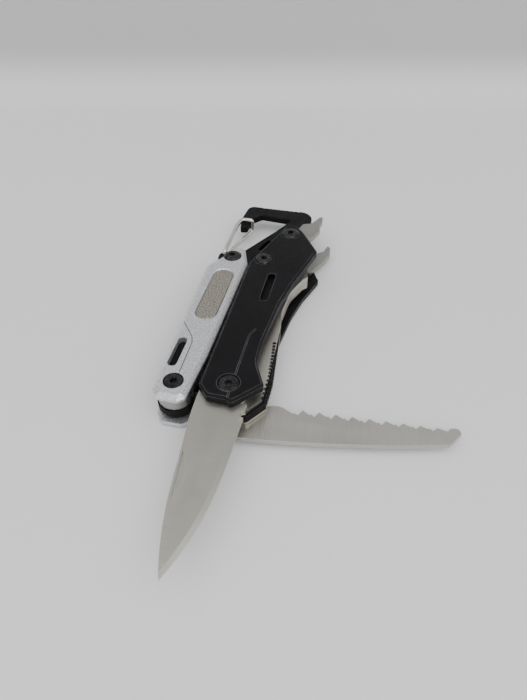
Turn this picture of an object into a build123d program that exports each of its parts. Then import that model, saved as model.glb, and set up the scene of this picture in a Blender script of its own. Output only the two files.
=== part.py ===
"""A folding multi tool lying on its side, blades open.

The black handle carries a knife, a saw, a can opener, a bottle opener and a carabiner with a wire
gate. The silver handle carries a file. A pair of pliers is folded between the two handles.
Lengths are in millimetres, z is the height above the table, and x and y are counted from the
main pivot, which stands at (PIVOT_X, PIVOT_Y).
"""

import os
from math import atan2, degrees

from build123d import *

os.makedirs("parts", exist_ok=True)

# The main pivot's place: it puts the origin under the middle of the open tool
PIVOT_X, PIVOT_Y = -24.55, -29.45

# Axes, from the main pivot
MAIN = (0.0, 0.0)  # knife, saw and first plier half
MID = (-3.7, 69.0)  # fixed screw of the black handle
TOP = (3.4, 90.3)  # both openers
HANDLE = (-17.5, -3.0)  # silver handle on the second plier half
POST = (-17.0, 68.5)  # fixed screw of the silver handle
JAWS = (-15.8, 15.0)  # plier pivot
GATE = (-23.4, 78.4)  # wire gate

# Heights of the layers, from the table up
SCALE_THIN = 2.4  # lower scales
SAW_LOW, SAW_HIGH = 2.6, 4.4
LOWER_LINER = 4.6
FRAME_LOW, FRAME_HIGH = 5.8, 8.8
LINER_TOP = 10.0
KNIFE_LOW, KNIFE_HIGH = 10.2, 12.2
SCALE_LOW, SCALE_HIGH = 12.4, 15.4  # upper black scale
SILVER_LOW = 13.0  # underside of the upper silver scale
LINER_THIN = 0.8  # liners of the silver handle
WASHER_THIN = 0.17
PLIER_LOW, PLIER_LAP, PLIER_HIGH = 4.1, 7.6, 11.1
LAP_GAP = 0.05  # each plier half keeps this far from the lap plane
TANG_LOW, TANG_HIGH = 5.9, 8.7  # first plier half inside the black handle
TANG_B_LOW, TANG_B_HIGH = 7.4, 12.9  # second plier half inside the silver handle

# Pins and screws
BARREL_R = 2.2
BARREL_LOW, BARREL_HIGH = 1.5, 13.7
THREAD_R = 1.3
RUNNING = 0.05  # radial clearance of what turns on a pin
FIXED = 0.02  # radial clearance of what sits still on a pin
HEAD_FLAT = 1.35  # flush head
HEAD_DOME = 2.0  # domed head
SUNK_FLAT = 1.5  # depth of a flush head's recess
SUNK_DOME = 1.3
HEAD_GAP = 0.3  # radial gap round a head

# Blades
SAW_REST = 4.0  # direction of the open saw, degrees from +X
SAW_TEETH = 9
SAW_PITCH = 5.43
SAW_GROUND = 0.15
STOP_PIN = (-7.2, 3.6)
STOP_PIN_R = 1.3

# Small features
JIMP_R = 0.72
JIMP_COUNT = 16
LOOP_NOTCH_R = 0.95
SLOT_WIDTH = 3.3
SLOT_DEEP = 2.2  # pocket in the upper black scale
FILE_LENGTH, FILE_WIDTH = 30.4, 7.8
FILE_PLACE = (-17.2, 43.5)
FILE_SUNK = 0.15
FILE_RIM = 0.45
WIRE_R = 0.95
GROOVE_WIDTH, GROOVE_DEEP = 0.45, 0.3
GRIP_PITCH = 1.3

# Outlines as rows of x, y and corner radius
LEFT_END = [(-9.3, 66.0, 4), (-9.3, -2.4, 1.5), (-5.6, -6.4, 1.5)]
TOP_SCALE = [
    (0.9, -6.5, 1.2), (2.6, -7.8, 1.2), (11.3, 1.6, 1.3), (6.8, 11.0, 9), (6.4, 21.0, 30),
    (8.2, 43.0, 40), (10.6, 56.0, 40), (16.8, 79.9, 2), (8.8, 93.2, 3), (4.6, 98.2, 3.2),
    (0.8, 98.2, 3),
] + LEFT_END
BOTTOM_SCALE = [
    (6.5, -7.0, 1), (11.8, 0.6, 1), (10.0, 15.0, 20), (9.6, 32.0, 30), (11.4, 49.5, 40),
    (14.2, 62.5, 40), (18.8, 76.2, 2), (12.5, 89.0, 8), (8.8, 93.4, 3), (4.6, 98.2, 3.2),
    (0.8, 98.2, 3),
] + LEFT_END
JIMP_START, JIMP_KNEE, JIMP_END = (12.5, 0.6), (12.5, 10.4), (10.7, 28.0)
LINER_EDGE = [
    (7.4, -7.3, 1), (12.4, -0.4, 1), (*JIMP_KNEE, 8), (*JIMP_END, 10), (9.9, 36.0, 10),
]
UPPER_EDGE = [
    (6.6, -6.9, 1), (11.0, -0.6, 1), (11.2, 8.9, 8), (10.4, 25.7, 10), (9.9, 36.0, 10),
]
LINER_REST = [
    (8.8, 44.0, 8), (9.7, 56.5, 20), (13.4, 66.0, 3), (15.0, 67.8, 0.6), (14.2, 71.4, 0.6),
    (13.0, 74.0, 1), (13.2, 83.0, 6), (8.4, 93.0, 3), (4.4, 97.4, 2.7), (0.9, 97.4, 2.7),
    (-9.1, 66.0, 4), (-9.1, -2.4, 1.5), (-5.5, -6.3, 1.5),
]
FRAME_HANDLE = LINER_EDGE + [
    (8.9, 43.0, 0), (4.0, 43.0, 1), (4.0, 71.0, 1), (12.9, 73.2, 1), (13.2, 83.0, 6),
    (9.3, 98.0, 6), (9.3, 121.3, 6), (-22.6, 121.3, 3.4), (-23.6, 109.0, 3),
    (-22.3, 101.2, 1), (-19.2, 101.8, 1), (-18.5, 109.6, 2), (-14.6, 114.2, 1.5),
    (0.2, 112.9, 1), (-5.5, 101.5, 20), (-15.4, 83.6, 3), (-18.6, 78.8, 1.2),
    (-20.6, 80.2, 1), (-25.8, 80.2, 2.4), (-25.8, 74.0, 2.5), (-12.0, 72.2, 3),
    (-9.1, 66.0, 4), (-9.1, -7.3, 0),
]
SPACER = [
    (4.4, 43.4, 1), (8.85, 43.4, 0.3), (8.8, 44.0, 0), (9.7, 56.5, 20), (13.4, 66.0, 3),
    (15.0, 67.8, 0.6), (14.2, 71.4, 0.6), (12.4, 72.6, 0.5), (4.4, 70.4, 1),
]
SILVER_SCALE = [
    (-23.4, -6.8, 1.5), (-21.2, -10.0, 1.5), (-13.8, -10.0, 1.6), (-11.9, -8.2, 1.5),
    (-10.6, 12.0, 40), (-9.9, 65.6, 3), (-13.6, 76.3, 2.5), (-17.4, 76.3, 3),
    (-22.3, 66.5, 8), (-25.8, 60.6, 3), (-24.8, 28.0, 60), (-23.8, 3.0, 20),
]
SILVER_LINER = [
    (-22.9, 4.5, 1), (-12.0, 4.5, 1), (-11.0, 65.4, 3), (-14.2, 71.0, 2), (-18.2, 71.0, 2),
    (-22.2, 65.6, 4), (-24.9, 60.4, 3), (-24.1, 28.0, 60),
]


def level(z, about=MAIN, turn=0.0):
    """The horizontal plane at height z, with its centre on an axis of the tool."""
    spot = (PIVOT_X + about[0], PIVOT_Y + about[1], z)
    return Plane(origin=spot, z_dir=(0, 0, 1)).rotated((0, 0, turn))


def slab(rows, low, high, about=MAIN, turn=0.0, mode=Mode.ADD):
    """A flat plate with an outline given as rows of x, y and corner radius."""
    with BuildSketch(level(low, about, turn)) as shape:
        with BuildLine():
            FilletPolyline(
                *[(x, y) for x, y, _ in rows], radius=[r for _, _, r in rows], close=True
            )
        make_face()
    extrude(shape.sketch, amount=high - low, mode=mode)


def disc(radius, low, high, about=MAIN, mode=Mode.ADD):
    """A round slab on an axis."""
    with BuildSketch(level(low, about)) as shape:
        Circle(radius)
    extrude(shape.sketch, amount=high - low, mode=mode)


def ring(outer, inner, low, high, about=MAIN):
    """A round slab with a round hole."""
    with BuildSketch(level(low, about)) as shape:
        Circle(outer)
        Circle(inner, mode=Mode.SUBTRACT)
    extrude(shape.sketch, amount=high - low)


def hole(radius, about, low=-1.0, high=20.0):
    """A round hole on an axis."""
    disc(radius, low, high, about, Mode.SUBTRACT)


def slot(place, length, width, low, high, turn=90.0, mode=Mode.SUBTRACT):
    """A round-ended slot whose length runs along y."""
    with BuildSketch(level(low, place)) as shape:
        SlotOverall(length, width, rotation=turn)
    extrude(shape.sketch, amount=high - low, mode=mode)


def cut_line(points, width, low, high):
    """A narrow cut along a bent line."""
    with BuildSketch(level(low)) as shape:
        for start, end in zip(points, points[1:]):
            run = Vector(*end) - Vector(*start)
            middle = (Vector(*end) + Vector(*start)) / 2
            with Locations((middle.X, middle.Y)):
                SlotCenterToCenter(run.length, width, rotation=degrees(atan2(run.Y, run.X)))
    extrude(shape.sketch, amount=high - low, mode=Mode.SUBTRACT)


def groove(points):
    """A shallow engraved line across an upper scale."""
    cut_line(points, GROOVE_WIDTH, SCALE_HIGH - GROOVE_DEEP, SCALE_HIGH + 1)


def jimping(low, high, inward=0.0):
    """A row of thumb notches down the right edge of the black handle."""
    knee = Vector(*JIMP_KNEE)
    start, end = Vector(*JIMP_START), Vector(*JIMP_END)
    first = 5
    spots = [start + (knee - start) * (i / first) for i in range(first)]
    rest = JIMP_COUNT - first
    spots += [knee + (end - knee) * (i / rest) for i in range(rest)]
    with BuildSketch(level(low)) as notches:
        with Locations(*[(spot.X - inward, spot.Y) for spot in spots]):
            Circle(JIMP_R)
    extrude(notches.sketch, amount=high - low, mode=Mode.SUBTRACT)


def screw(about, radius, dome, seat, up=True):
    """A screw with a six-lobe socket, its head on a seat and its shank in a barrel."""
    way = 1 if up else -1
    thick = HEAD_DOME if dome else HEAD_FLAT
    with BuildPart() as body:
        with BuildSketch(level(seat, about)) as head:
            Circle(radius)
        extrude(head.sketch, amount=way * thick)
        rim = body.edges().filter_by(GeomType.CIRCLE).sort_by(Axis.Z)[-1 if up else 0]
        fillet(rim, thick * (0.55 if dome else 0.25))
        with BuildSketch(level(seat + way * (thick - 0.9), about)) as socket:
            Circle(1.05)
            with PolarLocations(1.05, 6):
                Circle(0.36)
        extrude(socket.sketch, amount=way * 2, mode=Mode.SUBTRACT)
        with BuildSketch(level(seat, about)) as shank:
            Circle(THREAD_R - FIXED)
        extrude(shank.sketch, amount=-way * 4)
    return body.part


def save(piece, label):
    """Label a finished piece and write its file."""
    piece.label = label
    export_step(piece, f"parts/{label}.step")


def barrel(about, label, radius=BARREL_R):
    """A threaded sleeve from scale to scale."""
    with BuildPart() as sleeve:
        ring(radius, THREAD_R, BARREL_LOW, BARREL_HIGH, about)
    save(sleeve.part, label)


def screw_pair(about, radius, dome, label):
    """The two screws at the ends of a barrel."""
    upper = screw(about, radius, dome, SCALE_HIGH - (SUNK_DOME if dome else SUNK_FLAT))
    lower = screw(about, min(radius, 3.4), False, SUNK_FLAT, up=False)
    save(Compound(children=[upper, lower]), label)


# Upper black scale ----------------------------------------------------------------------------
MAIN_HEAD, MID_HEAD, TOP_HEAD = 3.5, 3.5, 3.75
SUNK = {MAIN: (MAIN_HEAD, SUNK_FLAT), MID: (MID_HEAD, SUNK_DOME), TOP: (TOP_HEAD, SUNK_DOME)}

with BuildPart() as top_scale:
    slab(TOP_SCALE, SCALE_LOW, SCALE_HIGH)
    chamfer(top_scale.faces().sort_by(Axis.Z)[-1].outer_wire().edges(), 0.8)
    for axis, (head, deep) in SUNK.items():
        hole(head + HEAD_GAP, axis, SCALE_HIGH - deep)
        hole(BARREL_R + FIXED, axis)
    slot((1.8, 51.3), 17.5, SLOT_WIDTH, SCALE_HIGH - SLOT_DEEP, SCALE_HIGH + 1)
    groove([(1.2, -5.6), (1.2, -3.9)])
    groove([(1.2, 3.9), (1.2, 23.0), (2.6, 26.4)])
save(top_scale.part, "black_top_scale")

# Lower black scale ----------------------------------------------------------------------------
with BuildPart() as bottom_scale:
    slab(BOTTOM_SCALE, 0, SCALE_THIN)
    chamfer(bottom_scale.faces().sort_by(Axis.Z)[0].outer_wire().edges(), 0.7)
    for axis in (MAIN, MID, TOP):
        hole(3.4 + HEAD_GAP, axis, high=SUNK_FLAT)
        hole(BARREL_R + FIXED, axis)
    slot((1.8, 51.3), 17.5, SLOT_WIDTH, -1, SUNK_FLAT)
save(bottom_scale.part, "black_bottom_scale")

# Steel liners of the black handle ---------------------------------------------------------------
for edge, low, high, name in (
    (LINER_EDGE, LOWER_LINER, FRAME_LOW, "lower_liner"),
    (UPPER_EDGE, FRAME_HIGH, LINER_TOP, "upper_liner"),
):
    with BuildPart() as liner:
        slab(edge + LINER_REST, low, high)
        jimping(low - 1, high + 1, JIMP_START[0] - edge[2][0])
        for axis in (MAIN, MID, TOP):
            hole(BARREL_R + FIXED, axis)
        # the sprung leaf that locks the blade is cut free along one side and round its tip
        cut_line([(3.4, 40.0), (3.4, 14.2), (5.4, 13.1)], 0.7, low - 1, high + 1)
    save(liner.part, name)

# Carabiner frame between the liners -------------------------------------------------------------
TANG_R = 6.0
ARM_HALF = 5.0
SWEEP = 0.8  # room round the plier tang

with BuildPart() as frame:
    slab(FRAME_HANDLE, FRAME_LOW, FRAME_HIGH)
    jimping(FRAME_LOW - 1, FRAME_HIGH + 1)
    hole(TANG_R + SWEEP, MAIN)
    # room for the plier arm, which leaves to the upper left, and for its swing below that
    slab(
        [(4.6, 5.2, 0), (-10.4, 19.6, 0), (-14.0, 16.0, 0), (-14.0, -10.0, 0), (0.0, -10.0, 0),
         (0.0, 0.0, 0)],
        FRAME_LOW - 1, FRAME_HIGH + 1, mode=Mode.SUBTRACT,
    )
    for axis in (MID, TOP):
        hole(BARREL_R + FIXED, axis)
    hole(WIRE_R + RUNNING, GATE)
    # pocket along the arm of the loop
    slab(
        [(-4.3, 95.6, 0.8), (-7.6, 92.2, 1), (-10.2, 85.4, 0.8), (-9.0, 83.2, 0.8)],
        FRAME_HIGH - 2.2, FRAME_HIGH + 1, mode=Mode.SUBTRACT,
    )
    chamfer(
        frame.faces().filter_by(Axis.Z).sort_by(Axis.Z)[-1].outer_wire().edges()
        .filter_by(lambda e: e.center().Y > PIVOT_Y + 99), 0.4,
    )
    # notches across the outside of the loop
    with BuildSketch(level(FRAME_LOW - 1)) as grips:
        with Locations(*[(-15.0 + 2.1 * i, 121.4) for i in range(9)]):
            Circle(LOOP_NOTCH_R)
    extrude(grips.sketch, amount=6, mode=Mode.SUBTRACT)
save(frame.part, "carabiner_frame")

with BuildPart() as spacer:
    slab(SPACER, FRAME_LOW, FRAME_HIGH)
save(spacer.part, "steel_spacer")

# Backspacers, stop pin and washers of the black handle ------------------------------------------
with BuildPart() as knife_back:
    slab([(-9.2, 12.0, 0.5), (-7.8, 12.0, 0.5), (-7.8, 62.0, 0.5), (-9.2, 62.0, 0.5)],
         LINER_TOP, SCALE_LOW)
save(knife_back.part, "knife_backspacer")

with BuildPart() as saw_back:
    slab([(-9.2, 12.0, 0.5), (-6.4, 12.0, 0.5), (-6.4, 64.0, 0.5), (-9.2, 64.0, 0.5)],
         SCALE_THIN, LOWER_LINER)
save(saw_back.part, "saw_backspacer")

with BuildPart() as stop:
    disc(STOP_PIN_R, LINER_TOP, SCALE_LOW, STOP_PIN)
save(stop.part, "knife_stop_pin")

with BuildPart() as washers:
    for low in (SCALE_THIN, LOWER_LINER - WASHER_THIN, LINER_TOP, SCALE_LOW - WASHER_THIN):
        ring(5.0, BARREL_R + FIXED, low, low + WASHER_THIN)
save(washers.part, "blade_washers")

# Knife ------------------------------------------------------------------------------------------
KNIFE_TANG = 6.5
EDGE_DEEP, EDGE_WIDE = 0.85, 1.25  # bevel of the cutting edge, per side

EDGE_LOW, EDGE_HIGH = KNIFE_LOW + EDGE_DEEP, KNIFE_HIGH - EDGE_DEEP


def knife_outline(z, inset):
    """The knife seen from above, its cutting edge drawn in by an inset."""
    with BuildSketch(level(z)) as blade:
        with BuildLine():
            tang = ThreePointArc((-6.12, 2.2), (0, KNIFE_TANG), (4.2, -4.96))
            Polyline(tang @ 1, (7.3, -4.96), (7.3, -7.7))
            ThreePointArc((7.3, -7.7), (5.9, -9.0), (7.3, -10.3))
            Line((7.3, -10.3), (7.3 - inset, -11.5))
            Spline((7.3 - inset, -11.5), (7.0 - inset, -20.0), (6.4 - inset, -32.5),
                   (5.2 - inset, -43.0), (2.9 - inset, -52.8), (-0.8 - inset / 3, -62.4 + inset))
            Spline((-0.8 - inset / 3, -62.4 + inset), (-3.8, -52.3), (-5.8, -42.0),
                   (-7.4, -27.5), (-8.6, -17.0), (-9.2, -6.0))
            Polyline((-9.2, -6.0), (-9.2, 2.2), (-6.12, 2.2))
        make_face()
    return blade.sketch


with BuildPart() as knife:
    extrude(knife_outline(EDGE_LOW, 0), amount=EDGE_HIGH - EDGE_LOW)
    loft([knife_outline(EDGE_HIGH, 0), knife_outline(KNIFE_HIGH, EDGE_WIDE)], ruled=True)
    loft([knife_outline(KNIFE_LOW, EDGE_WIDE), knife_outline(EDGE_LOW, 0)], ruled=True)
    # nail nick in the upper face, near the spine
    with BuildSketch(level(KNIFE_HIGH - 0.45)) as nick:
        with BuildLine():
            Line((-6.9, -26.0), (-5.1, -41.5))
            ThreePointArc((-5.1, -41.5), (-3.7, -33.4), (-6.9, -26.0))
        make_face()
    extrude(nick.sketch, amount=1, mode=Mode.SUBTRACT)
    hole(BARREL_R + RUNNING, MAIN)
save(knife.part, "knife_blade")

# Saw --------------------------------------------------------------------------------------------
with BuildPart() as saw:
    with BuildSketch(level(SAW_LOW, turn=SAW_REST)) as blade:
        with BuildLine():
            row = [(4.4, 4.8), (12.6, 1.3), (14.1, 1.7), (15.6, 1.9), (17.5, 1.5), (19.9, 0.1),
                   (21.3, -0.6), (21.8, -0.4)]
            for i in range(SAW_TEETH):
                peak = 24.2 + SAW_PITCH * i
                row += [(peak - 1.35, -0.95), (peak, 1.4 - 0.1 * i), (peak + 2.5, -0.35),
                        (peak + 3.0, 0.05)]
            row += [(71.0, -1.6), (70.9, -0.4), (71.6, 0.8), (73.1, 1.2), (74.4, 1.0),
                    (75.0, -0.1), (75.0, -1.1), (71.2, -5.6), (60.0, -7.6), (49.8, -9.1),
                    (30.8, -11.2), (12.7, -12.5), (5.7, -12.8), (-2.75, -10.6), (-2.75, -5.88)]
            Polyline(*row)
            ThreePointArc(row[-1], (-6.5, 0), row[0])
        make_face()
    extrude(blade.sketch, amount=SAW_HIGH - SAW_LOW)
    # the ground part of the blade is a little thinner than its root
    with BuildSketch(level(SAW_HIGH - SAW_GROUND, turn=SAW_REST)) as ground:
        with Locations((12.9 + 40, 0)):
            Rectangle(80, 40)
    extrude(ground.sketch, amount=1, mode=Mode.SUBTRACT)
    hole(BARREL_R + RUNNING, MAIN)
save(saw.part, "saw_blade")

# Openers ----------------------------------------------------------------------------------------
with BuildPart() as can_opener:
    slab(
        [(-0.4, 86.0, 3.6), (7.2, 86.4, 3), (13.0, 95.0, 3), (15.1, 101.2, 0.7), (14.2, 103.9, 0.7),
         (15.2, 108.7, 2), (14.8, 112.6, 0.5), (13.4, 112.2, 0.4), (10.6, 105.9, 2),
         (6.8, 104.6, 2), (5.2, 98.6, 5), (-0.8, 94.0, 3.6)],
        KNIFE_LOW, KNIFE_HIGH,
    )
    hole(BARREL_R + RUNNING, TOP)
save(can_opener.part, "can_opener")

with BuildPart() as bottle_opener:
    slab(
        [(-0.8, 94.6, 3.8), (-0.6, 86.2, 3.8), (7.0, 85.8, 4), (14.2, 77.8, 0.8), (15.9, 81.9, 3),
         (19.1, 88.6, 8), (21.1, 94.2, 3), (20.6, 99.6, 0.8), (19.2, 101.2, 0.5), (18.0, 96.2, 1),
         (14.8, 93.6, 3)],
        SAW_LOW, SAW_HIGH,
    )
    hole(BARREL_R + RUNNING, TOP)
save(bottle_opener.part, "bottle_opener")

# Wire gate --------------------------------------------------------------------------------------
WIRE_UP = FRAME_HIGH + 0.3 + WIRE_R
WIRE_DOWN = FRAME_LOW - 0.3 - WIRE_R
GATE_PATH = [
    (*GATE, 7.6), (*GATE, WIRE_UP), (-23.6, 100.5, WIRE_UP), (-22.8, 105.6, WIRE_UP),
    (-17.6, 106.2, WIRE_UP), (-17.6, 105.4, WIRE_DOWN), (-22.8, 90.0, WIRE_DOWN),
    (*GATE, WIRE_DOWN), (*GATE, 7.0),
]

with BuildPart() as gate:
    with BuildLine(Plane(origin=(PIVOT_X, PIVOT_Y, 0))) as route:
        FilletPolyline(*GATE_PATH, radius=[1.0, 6.0, 2.2, 1.3, 1.3, 4.0, 1.0])
    with BuildSketch(Plane(origin=route.line @ 0, z_dir=route.line % 0)):
        Circle(WIRE_R)
    sweep(path=route.line)
save(gate.part, "gate_wire")

# Pliers -----------------------------------------------------------------------------------------
AJAR = 3.15  # each jaw leans this far from the middle, degrees
BOSS_R = 5.6
PLIER_TANG_B = 5.8
JAW = [  # left jaw, counted from the plier pivot
    (-6.0, 7.0, 0.5), (-0.15, 7.0, 0), (-0.15, 34.2, 0.3), (-2.2, 34.2, 1.2), (-4.6, 20.0, 12),
]


def jaw(side, lean, low, high):
    """One jaw, straight on its gripping side; side is -1 on the left and +1 on the right."""
    rows = [(-side * x, y, r) for x, y, r in JAW]
    slab(rows, low, high, about=JAWS, turn=lean)
    with BuildSketch(level(low - 1, JAWS, lean)) as teeth:
        with Locations(*[(0, 14.0 + GRIP_PITCH * i) for i in range(15)]):
            Circle(0.5)
        with Locations((side * 0.6, 10.5)):
            Ellipse(1.6, 2.6)
    extrude(teeth.sketch, amount=high - low + 2, mode=Mode.SUBTRACT)


with BuildPart() as half_a:
    disc(TANG_R, TANG_LOW, TANG_HIGH)
    slab([(3.9, 4.4, 0), (-9.9, 16.6, 0), (-9.9, 7.6, 0), (-3.0, -5.0, 0)], TANG_LOW, TANG_HIGH)
    slab([(-9.6, 16.4, 0), (-14.0, 20.2, 0), (-17.0, 9.8, 0), (-9.6, 7.2, 0)],
         PLIER_LOW, PLIER_LAP - LAP_GAP)
    disc(BOSS_R, PLIER_LOW, PLIER_LAP - LAP_GAP, JAWS)
    slab([(-5.5, 0, 0), (0.0, 0.0, 0), (-0.2, 8.0, 0), (-6.0, 8.0, 0)],
         PLIER_LOW, PLIER_LAP - LAP_GAP, about=JAWS, turn=AJAR)
    jaw(-1, AJAR, PLIER_LOW, PLIER_HIGH)
    hole(BARREL_R + RUNNING, MAIN)
    hole(1.9 + FIXED, JAWS)
save(half_a.part, "plier_half_a")

with BuildPart() as half_b:
    disc(PLIER_TANG_B, TANG_B_LOW, TANG_B_HIGH, HANDLE)
    slab([(-22.6, -0.6, 1), (-12.6, -0.6, 1), (-10.6, 12.0, 3), (-12.0, 19.0, 1),
          (-20.8, 14.0, 2)], PLIER_LAP + LAP_GAP, PLIER_HIGH)
    disc(BOSS_R, PLIER_LAP + LAP_GAP, PLIER_HIGH, JAWS)
    slab([(5.5, 0, 0), (0.4, 0.0, 0), (0.4, 8.0, 0), (6.0, 8.0, 0)],
         PLIER_LAP + LAP_GAP, PLIER_HIGH, about=JAWS, turn=-AJAR)
    jaw(1, -AJAR, PLIER_LOW, PLIER_HIGH)
    hole(BARREL_R + RUNNING, HANDLE)
    hole(1.9 + RUNNING, JAWS)
save(half_b.part, "plier_half_b")

with BuildPart() as pivot_pin:
    disc(1.9, PLIER_LOW, PLIER_HIGH, JAWS)
    disc(3.2, PLIER_LOW - 0.4, PLIER_LOW, JAWS)
    disc(3.2, PLIER_HIGH + 0.03, PLIER_HIGH + 0.4, JAWS)
    disc(1.9, PLIER_HIGH, PLIER_HIGH + 0.1, JAWS)
save(pivot_pin.part, "plier_pivot_pin")

# Silver handle ----------------------------------------------------------------------------------
HANDLE_HEAD, POST_HEAD = 3.15, 3.5
SPACER_STEP = 4.7  # the handle spacer is wider above the saw
FILE_GAP = 0.1
FILE_DEEP = 0.9


def is_file_rim(edge):
    """Whether an edge lies round the top of the file's pocket."""
    middle = edge.center()
    reach = abs(middle.Y - PIVOT_Y - FILE_PLACE[1])
    side = abs(middle.X - PIVOT_X - FILE_PLACE[0])
    return middle.Z > SCALE_HIGH - 0.01 and reach < FILE_LENGTH / 2 + 1 and side < FILE_WIDTH / 2 + 0.5


with BuildPart() as silver_top:
    slab(SILVER_SCALE, SILVER_LOW, SCALE_HIGH)
    chamfer(silver_top.faces().sort_by(Axis.Z)[-1].outer_wire().edges(), 1.4)
    hole(HANDLE_HEAD + HEAD_GAP, HANDLE, SCALE_HIGH - SUNK_FLAT)
    hole(POST_HEAD + HEAD_GAP, POST, SCALE_HIGH - SUNK_DOME)
    for axis in (HANDLE, POST):
        hole(BARREL_R + FIXED, axis)
    slot(FILE_PLACE, FILE_LENGTH + 2 * FILE_GAP, FILE_WIDTH + 2 * FILE_GAP,
         SCALE_HIGH - FILE_DEEP, SCALE_HIGH + 1)
    rim = silver_top.edges().filter_by(Axis.Z, reverse=True).filter_by(is_file_rim)
    chamfer(rim, FILE_RIM)
    slot((-20.6, 10.0), 14.0, SLOT_WIDTH, SILVER_LOW - 1, SCALE_HIGH + 1)
    groove([(-24.4, 26.2), (-18.1, 18.0), (-17.1, 15.1), (-16.8, 1.4)])
save(silver_top.part, "silver_top_scale")

with BuildPart() as silver_bottom:
    slab(SILVER_SCALE, 0, SCALE_THIN)
    chamfer(silver_bottom.faces().sort_by(Axis.Z)[0].outer_wire().edges(), 0.7)
    for axis in (HANDLE, POST):
        hole(3.4 + HEAD_GAP, axis, high=SUNK_FLAT)
        hole(BARREL_R + FIXED, axis)
    slot((-20.6, 10.0), 14.0, SLOT_WIDTH, -1, SCALE_THIN + 1)
save(silver_bottom.part, "silver_bottom_scale")

for low, name in (
    (SCALE_THIN, "silver_lower_liner"),
    (SILVER_LOW - LINER_THIN, "silver_upper_liner"),
):
    with BuildPart() as liner:
        slab(SILVER_LINER, low, low + LINER_THIN)
        hole(BARREL_R + FIXED, POST)
    save(liner.part, name)

with BuildPart() as silver_back:
    slab([(-24.2, 21.0, 0.5), (-22.6, 21.0, 0.5), (-23.0, 60.0, 0.5), (-24.9, 60.0, 0.5)],
         SCALE_THIN + LINER_THIN, SILVER_LOW - LINER_THIN)
save(silver_back.part, "silver_backspacer")

with BuildPart() as file_plate:
    with BuildSketch(level(SCALE_HIGH - FILE_DEEP, FILE_PLACE)):
        SlotOverall(FILE_LENGTH, FILE_WIDTH, rotation=90)
    extrude(amount=FILE_DEEP - FILE_SUNK)
    chamfer(file_plate.faces().sort_by(Axis.Z)[-1].outer_wire().edges(), 0.25)
save(file_plate.part, "file_plate")

with BuildPart() as handle_spacer:
    ring(4.8, BARREL_R + FIXED, SCALE_THIN, SPACER_STEP, HANDLE)
    ring(6.2, BARREL_R + FIXED, SPACER_STEP, TANG_B_LOW - 0.1, HANDLE)
save(handle_spacer.part, "handle_spacer")

# Barrels and screws -----------------------------------------------------------------------------
barrel(MAIN, "main_pivot_barrel")
barrel(MID, "mid_barrel")
barrel(TOP, "top_pivot_barrel")
barrel(HANDLE, "handle_pivot_barrel")
barrel(POST, "handle_post")
screw_pair(MAIN, MAIN_HEAD, False, "main_pivot_screws")
screw_pair(MID, MID_HEAD, True, "mid_screws")
screw_pair(TOP, TOP_HEAD, True, "top_pivot_screws")
screw_pair(HANDLE, HANDLE_HEAD, False, "handle_pivot_screws")
screw_pair(POST, POST_HEAD, True, "handle_post_screws")
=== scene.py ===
"""The looks of the folding multi tool: materials, backdrop, light and camera."""

import math

import bpy
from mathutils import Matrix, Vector

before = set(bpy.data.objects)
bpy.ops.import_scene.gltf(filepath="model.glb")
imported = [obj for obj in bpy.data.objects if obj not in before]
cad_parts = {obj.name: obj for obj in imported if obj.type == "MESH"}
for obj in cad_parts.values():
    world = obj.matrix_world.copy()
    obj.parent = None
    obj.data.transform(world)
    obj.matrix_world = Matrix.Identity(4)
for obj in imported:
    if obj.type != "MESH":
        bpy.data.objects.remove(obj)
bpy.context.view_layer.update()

MM = 0.001
PIVOT = Vector((-24.55, -29.45, 0)) * MM  # main pivot on the floor plane


def at(x, y, z):
    """A point in millimetres from the main pivot, as metres in the frame."""
    return PIVOT + Vector((x, y, z)) * MM


# Material building ------------------------------------------------------------------------------
NOISE_LOW, NOISE_HIGH = 0.3, 0.7  # where nearly all of a noise texture's values lie


def tint(color, factor):
    """A colour made paler or darker."""
    return [min(1.0, factor * c) for c in color]


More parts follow.
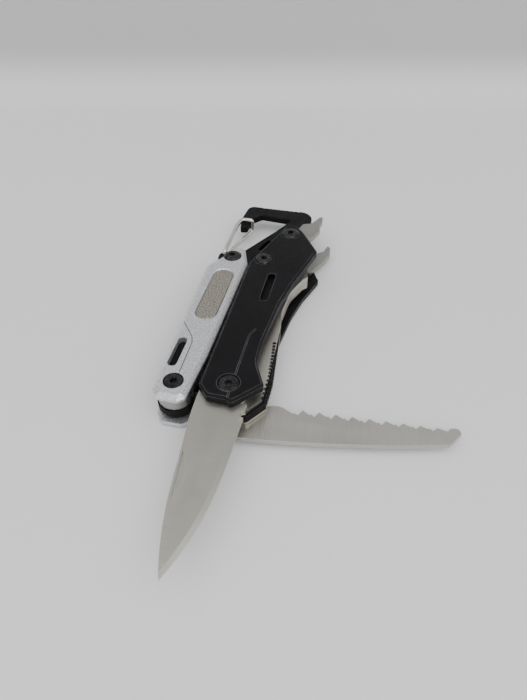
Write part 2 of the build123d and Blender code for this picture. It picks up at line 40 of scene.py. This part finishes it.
class Shader:
    """A node material with short calls for the nodes that the metals share."""

    def __init__(self, name, color, metallic, roughness):
        self.material = bpy.data.materials.new(name)
        self.material.use_nodes = True
        self.tree = self.material.node_tree
        self.surface = self.tree.nodes["Principled BSDF"]
        self.surface.inputs["Base Color"].default_value = (*color, 1)
        self.surface.inputs["Metallic"].default_value = metallic
        self.surface.inputs["Roughness"].default_value = roughness
        self.place = self.node("ShaderNodeTexCoord").outputs["Object"]

    def node(self, kind, **values):
        made = self.tree.nodes.new(kind)
        for key, value in values.items():
            setattr(made, key, value)
        return made

    def link(self, out, into):
        self.tree.links.new(out, into)

    def stretched(self, scale, turn=0.0):
        """Coordinates stretched along one direction of the tool's plane."""
        turned = self.node("ShaderNodeMapping")
        turned.inputs["Rotation"].default_value = (0, 0, math.radians(-turn))
        self.link(self.place, turned.inputs["Vector"])
        scaled = self.node("ShaderNodeMapping")
        scaled.inputs["Scale"].default_value = scale
        self.link(turned.outputs["Vector"], scaled.inputs["Vector"])
        return scaled.outputs["Vector"]

    def noise(self, scale, detail=3.0, vector=None):
        made = self.node("ShaderNodeTexNoise")
        made.inputs["Scale"].default_value = scale
        made.inputs["Detail"].default_value = detail
        self.link(vector or self.place, made.inputs["Vector"])
        return made.outputs["Fac"]

    def ramp(self, value, low, high, low_color, high_color):
        made = self.node("ShaderNodeValToRGB")
        made.color_ramp.elements[0].position = low
        made.color_ramp.elements[1].position = high
        made.color_ramp.elements[0].color = (*low_color, 1)
        made.color_ramp.elements[1].color = (*high_color, 1)
        self.link(value, made.inputs["Fac"])
        return made.outputs["Color"]

    def tones(self, value, low_color, high_color):
        """Colours a noise from one tone to another."""
        return self.ramp(value, NOISE_LOW, NOISE_HIGH, low_color, high_color)

    def spread(self, value, low, high):
        """Spreads a noise over a range of numbers."""
        made = self.node("ShaderNodeMapRange")
        made.inputs["From Min"].default_value = NOISE_LOW
        made.inputs["From Max"].default_value = NOISE_HIGH
        made.inputs["To Min"].default_value = low
        made.inputs["To Max"].default_value = high
        self.link(value, made.inputs["Value"])
        return made.outputs["Result"]

    def mix(self, factor, first, second):
        made = self.node("ShaderNodeMix", data_type="RGBA")
        self.link(factor, made.inputs["Factor"])
        self.link(first, made.inputs["A"])
        self.link(second, made.inputs["B"])
        return made.outputs["Result"]

    def bump(self, height, distance, strength):
        made = self.node("ShaderNodeBump")
        made.inputs["Distance"].default_value = distance
        made.inputs["Strength"].default_value = strength
        self.link(height, made.inputs["Height"])
        return made.outputs["Normal"]

    def edges(self, radius, low, high):
        """How near an outer edge a spot is: 1 on an outer edge, 0 on a flat. It marks edge wear, and
        on the steels a painted highlight.
        """
        soft = self.node("ShaderNodeBevel", samples=6)
        soft.inputs["Radius"].default_value = radius
        flat = self.node("ShaderNodeNewGeometry")
        dot = self.node("ShaderNodeVectorMath", operation="DOT_PRODUCT")
        self.link(soft.outputs["Normal"], dot.inputs[0])
        self.link(flat.outputs["Normal"], dot.inputs[1])
        made = self.node("ShaderNodeMapRange")
        made.inputs["From Min"].default_value = high
        made.inputs["From Max"].default_value = low
        self.link(dot.outputs["Value"], made.inputs["Value"])
        return made.outputs["Result"]

    def open_air(self, distance, low, high):
        """How open a spot is: 0 deep in a groove, 1 on a flat or an outer edge."""
        shade = self.node("ShaderNodeAmbientOcclusion", samples=8)
        shade.inputs["Distance"].default_value = distance
        made = self.node("ShaderNodeMapRange")
        made.inputs["From Min"].default_value = low
        made.inputs["From Max"].default_value = high
        self.link(shade.outputs["AO"], made.inputs["Value"])
        return made.outputs["Result"]

    def product(self, first, second):
        made = self.node("ShaderNodeMath", operation="MULTIPLY")
        self.link(first, made.inputs[0])
        self.link(second, made.inputs[1])
        return made.outputs["Value"]

    def color(self, out):
        self.link(out, self.surface.inputs["Base Color"])

    def rough(self, out):
        self.link(out, self.surface.inputs["Roughness"])

    def normal(self, out):
        self.link(out, self.surface.inputs["Normal"])


def textured_black(name, base, worn, roughness, grain):
    """Blasted and blackened metal, a little paler where its edges are rubbed."""
    s = Shader(name, base, 0.0, roughness)
    s.surface.inputs["Specular IOR Level"].default_value = 0.13
    patches = s.noise(90, 4)
    body = s.tones(patches, base, tint(base, 1.6))
    dust = s.noise(2300, 3)
    body = s.mix(s.spread(dust, 0.0, 0.16), body, s.ramp(dust, 0.55, 0.8, base, tint(base, 5)))
    edge_wear_and_highlight = s.product(s.edges(0.3 * MM, 0.84, 0.98), s.open_air(0.6 * MM, 0.85, 0.97))
    s.color(s.mix(edge_wear_and_highlight, body, s.tones(patches, tint(worn, 0.45), worn)))
    s.rough(s.spread(s.noise(400, 5), roughness - 0.07, roughness + 0.1))
    s.normal(s.bump(s.noise(grain, 2), 0.06 * MM, 0.7))
    return s.material


def blasted_silver(name):
    """Clear anodised aluminium with a coarse blasted grain and polished edges."""
    s = Shader(name, (0.66, 0.67, 0.69), 0.85, 0.42)
    speck = s.noise(1700, 4)
    body = s.ramp(speck, 0.36, 0.66, (0.55, 0.56, 0.575), (0.88, 0.89, 0.90))
    edge_wear_and_highlight = s.edges(0.25 * MM, 0.85, 0.985)
    rubbed_and_highlight = s.mix(edge_wear_and_highlight, body, s.tones(speck, (0.78, 0.78, 0.78), (0.95, 0.95, 0.95)))
    # painted shade: grooves and recesses darkened by ambient occlusion
    painted_groove_shade = s.tones(speck, (0.10, 0.10, 0.105), (0.22, 0.22, 0.225))
    s.color(s.mix(s.open_air(0.7 * MM, 0.45, 0.85), painted_groove_shade, rubbed_and_highlight))
    s.rough(s.spread(s.noise(1300, 4), 0.30, 0.50))
    s.normal(s.bump(s.noise(1500, 4), 0.11 * MM, 0.85))
    return s.material


def brushed_steel(name, color, turn, roughness, line=0.11, length=7.0):
    """Stainless steel, its brush lines a line wide and a length long in mm, turned in degrees."""
    s = Shader(name, color, 1.0, roughness)
    across = 1 / (line * MM)
    along = 1 / (length * MM)
    vector = s.stretched((along, across, across), turn)
    lines = s.noise(1.0, 4, vector)
    stain = s.noise(45, 3)
    dark_lines = s.tones(lines, tint(color, 0.78), color)
    pale_lines = s.tones(lines, color, tint(color, 1.12))
    body = s.mix(stain, dark_lines, pale_lines)
    # painted highlight: outer edges painted paler, kept out of grooves
    rubbed_and_highlight = s.tones(lines, tint(color, 1.45), tint(color, 1.75))
    edge_wear_and_highlight = s.product(s.edges(0.22 * MM, 0.86, 0.985), s.open_air(0.6 * MM, 0.85, 0.97))
    s.color(s.mix(edge_wear_and_highlight, body, rubbed_and_highlight))
    s.rough(s.spread(lines, roughness - 0.07, roughness + 0.09))
    s.normal(s.bump(lines, 0.012 * MM, 0.6))
    s.surface.inputs["Anisotropic"].default_value = 0.35
    return s.material


def polished_wire(name):
    """Bright spring wire, a little scuffed."""
    s = Shader(name, (0.78, 0.75, 0.69), 1.0, 0.16)
    s.rough(s.spread(s.noise(900, 4), 0.10, 0.26))
    s.color(s.tones(s.noise(160, 3), (0.66, 0.63, 0.57), (0.84, 0.81, 0.75)))
    s.normal(s.bump(s.noise(1400, 2), 0.01 * MM, 0.4))
    return s.material


def black_screw(name):
    """Oiled black screw steel."""
    s = Shader(name, (0.018, 0.018, 0.02), 0.6, 0.3)
    s.color(s.ramp(s.noise(500, 4), 0.35, 0.7, (0.010, 0.010, 0.012), (0.05, 0.048, 0.046)))
    s.rough(s.spread(s.noise(900, 4), 0.17, 0.33))
    s.normal(s.bump(s.noise(2600, 3), 0.015 * MM, 0.5))
    return s.material


def file_steel(name):
    """Bare file steel, its cuts full of grey dust."""
    s = Shader(name, (0.36, 0.34, 0.30), 0.75, 0.5)
    speck = s.noise(2300, 4)
    s.color(s.ramp(speck, 0.38, 0.62, (0.13, 0.12, 0.10), (0.52, 0.49, 0.42)))
    s.rough(s.spread(s.noise(2500, 2), 0.4, 0.62))
    s.normal(s.bump(s.noise(2400, 3), 0.08 * MM, 0.8))
    return s.material


BLACK = textured_black("black_anodised", (0.0048, 0.0047, 0.0053), (0.30, 0.30, 0.31), 0.44, 4200)
BLACK_STEEL = textured_black("black_oxide", (0.0040, 0.0040, 0.0044), (0.07, 0.07, 0.072), 0.52, 5200)
SILVER = blasted_silver("silver_anodised")
KNIFE = brushed_steel("knife_steel", (0.50, 0.485, 0.43), turn=8, roughness=0.36)
SAW = brushed_steel("saw_steel", (0.55, 0.53, 0.475), turn=94, roughness=0.36, line=0.14)
OPENER = brushed_steel("opener_steel", (0.38, 0.37, 0.34), turn=60, roughness=0.4)
LINER = brushed_steel("liner_steel", (0.52, 0.50, 0.44), turn=90, roughness=0.42, length=4)
SIDE = brushed_steel("spacer_steel", (0.50, 0.48, 0.43), turn=0, roughness=0.45, length=2)
PLIER = brushed_steel("plier_steel", (0.40, 0.39, 0.37), turn=0, roughness=0.3, line=0.25)
SCREW = black_screw("screw_black")
FILE = file_steel("file_steel")
WIRE = polished_wire("wire_steel")
BRONZE = brushed_steel("bronze", (0.55, 0.40, 0.22), turn=0, roughness=0.35)

FINISH = {
    "black_top_scale": BLACK,
    "black_bottom_scale": BLACK,
    "carabiner_frame": BLACK_STEEL,
    "knife_backspacer": BLACK_STEEL,
    "saw_backspacer": BLACK_STEEL,
    "silver_backspacer": BLACK_STEEL,
    "silver_upper_liner": BLACK_STEEL,
    "silver_lower_liner": BLACK_STEEL,
    "handle_spacer": BLACK_STEEL,
    "silver_top_scale": SILVER,
    "silver_bottom_scale": SILVER,
    "knife_blade": KNIFE,
    "saw_blade": SAW,
    "can_opener": OPENER,
    "bottle_opener": OPENER,
    "upper_liner": LINER,
    "lower_liner": LINER,
    "steel_spacer": SIDE,
    "file_plate": FILE,
    "gate_wire": WIRE,
    "blade_washers": BRONZE,
}
for node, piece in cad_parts.items():
    # screws share one finish; pliers, barrels and the stop pin are plain steel
    finish = SCREW if node.endswith("screws") else FINISH.get(node, PLIER)
    piece.data.materials.clear()
    piece.data.materials.append(finish)

# Floor, wall, light and camera ------------------------------------------------------------------
PALE = (0.86, 0.86, 0.865)
SHADED = tint(PALE, 0.70)  # the wall gets less light
AHEAD = Vector((-0.2178, 0.976, 0)).normalized()  # the way the camera looks, level
ASIDE = Vector((AHEAD.y, -AHEAD.x, 0))
EYE = at(35.4, -107.3, 140.4)
WALL = 0.417  # from the camera to the foot of the wall, in metres
COVE = 0.03
COVE_STEPS = 12
SHADE_LOW, SHADE_HIGH = 0.002, 0.035  # heights between which the floor's tone turns into the wall's
WALL_TOP = 1.2
FLOOR_BEHIND = 1.5  # how far the floor reaches behind the camera
HALF_WIDTH = 2.5


def paper():
    """Matt pale paper, darker up the wall than on the floor."""
    s = Shader("paper", PALE, 0.0, 0.6)
    tone = s.noise(3, 2)
    height = s.node("ShaderNodeSeparateXYZ")
    s.link(s.place, height.inputs["Vector"])
    rise = s.node("ShaderNodeMapRange", interpolation_type="SMOOTHSTEP")
    rise.inputs["From Min"].default_value = SHADE_LOW
    rise.inputs["From Max"].default_value = SHADE_HIGH
    s.link(height.outputs["Z"], rise.inputs["Value"])
    floor = s.tones(tone, tint(PALE, 0.985), tint(PALE, 1.015))
    wall = s.tones(tone, tint(SHADED, 0.985), tint(SHADED, 1.015))
    s.color(s.mix(rise.outputs["Result"], floor, wall))
    s.normal(s.bump(s.noise(600, 2), 0.02 * MM, 0.2))
    return s.material


def backdrop():
    """Floor and wall as one sheet with a round cove between them."""
    profile = [(-FLOOR_BEHIND, 0.0)]
    for i in range(COVE_STEPS + 1):
        turn = math.radians(90 * i / COVE_STEPS)
        profile.append((WALL + COVE * (math.sin(turn) - 1), COVE * (1 - math.cos(turn))))
    profile.append((WALL, WALL_TOP))
    foot = Vector((EYE.x, EYE.y, 0))
    corners = []
    for reach, height in profile:
        for side in (-HALF_WIDTH, HALF_WIDTH):
            corners.append(foot + AHEAD * reach + ASIDE * side + Vector((0, 0, height)))
    strips = [(2 * i + 1, 2 * i, 2 * i + 2, 2 * i + 3) for i in range(len(profile) - 1)]
    mesh = bpy.data.meshes.new("backdrop")
    mesh.from_pydata(corners, [], strips)
    for face in mesh.polygons:
        face.use_smooth = True
    mesh.materials.append(paper())
    sheet = bpy.data.objects.new("backdrop", mesh)
    bpy.context.collection.objects.link(sheet)


backdrop()


def softbox(name, place, size, power, color):
    """A soft lamp aimed at the tool."""
    lamp = bpy.data.lights.new(name, "AREA")
    lamp.shape = "RECTANGLE"
    lamp.size, lamp.size_y = size
    lamp.energy = power
    lamp.color = color
    holder = bpy.data.objects.new(name, lamp)
    holder.location = place
    holder.rotation_euler = (-Vector(place)).to_track_quat("-Z", "Y").to_euler()
    bpy.context.collection.objects.link(holder)


softbox("key", (-0.5, 0.35, 0.75), (0.4, 0.3), 9.0, (1.0, 0.985, 0.955))
softbox("fill", (0.5, -0.6, 0.8), (0.8, 0.8), 2.2, (1.0, 1.0, 1.0))


def room():
    """Light from all round, bright overhead and dimmer towards the horizon."""
    world = bpy.data.worlds.new("room")
    bpy.context.scene.world = world
    world.use_nodes = True
    air = world.node_tree
    way = air.nodes.new("ShaderNodeTexCoord")
    parts = air.nodes.new("ShaderNodeSeparateXYZ")
    sky = air.nodes.new("ShaderNodeValToRGB")
    horizon, overhead = sky.color_ramp.elements
    horizon.position = 0.05
    horizon.color = (0.22, 0.22, 0.225, 1)
    overhead.position = 0.75
    overhead.color = (1.0, 1.0, 1.02, 1)
    air.links.new(way.outputs["Generated"], parts.inputs["Vector"])
    air.links.new(parts.outputs["Z"], sky.inputs["Fac"])
    air.links.new(sky.outputs["Color"], air.nodes["Background"].inputs["Color"])
    air.nodes["Background"].inputs["Strength"].default_value = 1.52


room()

FOCAL_LENGTH = 27.05  # for a 36 mm wide sensor
PITCH = math.radians(44.5)  # how far the camera looks down
lens = bpy.data.cameras.new("camera")
lens.lens = FOCAL_LENGTH
lens.sensor_width = 36.0
lens.clip_start = 0.01
camera = bpy.data.objects.new("camera", lens)
camera.location = EYE
look = AHEAD * math.cos(PITCH) + Vector((0, 0, -math.sin(PITCH)))
camera.rotation_euler = look.to_track_quat("-Z", "Y").to_euler()
bpy.context.collection.objects.link(camera)
bpy.context.scene.camera = camera
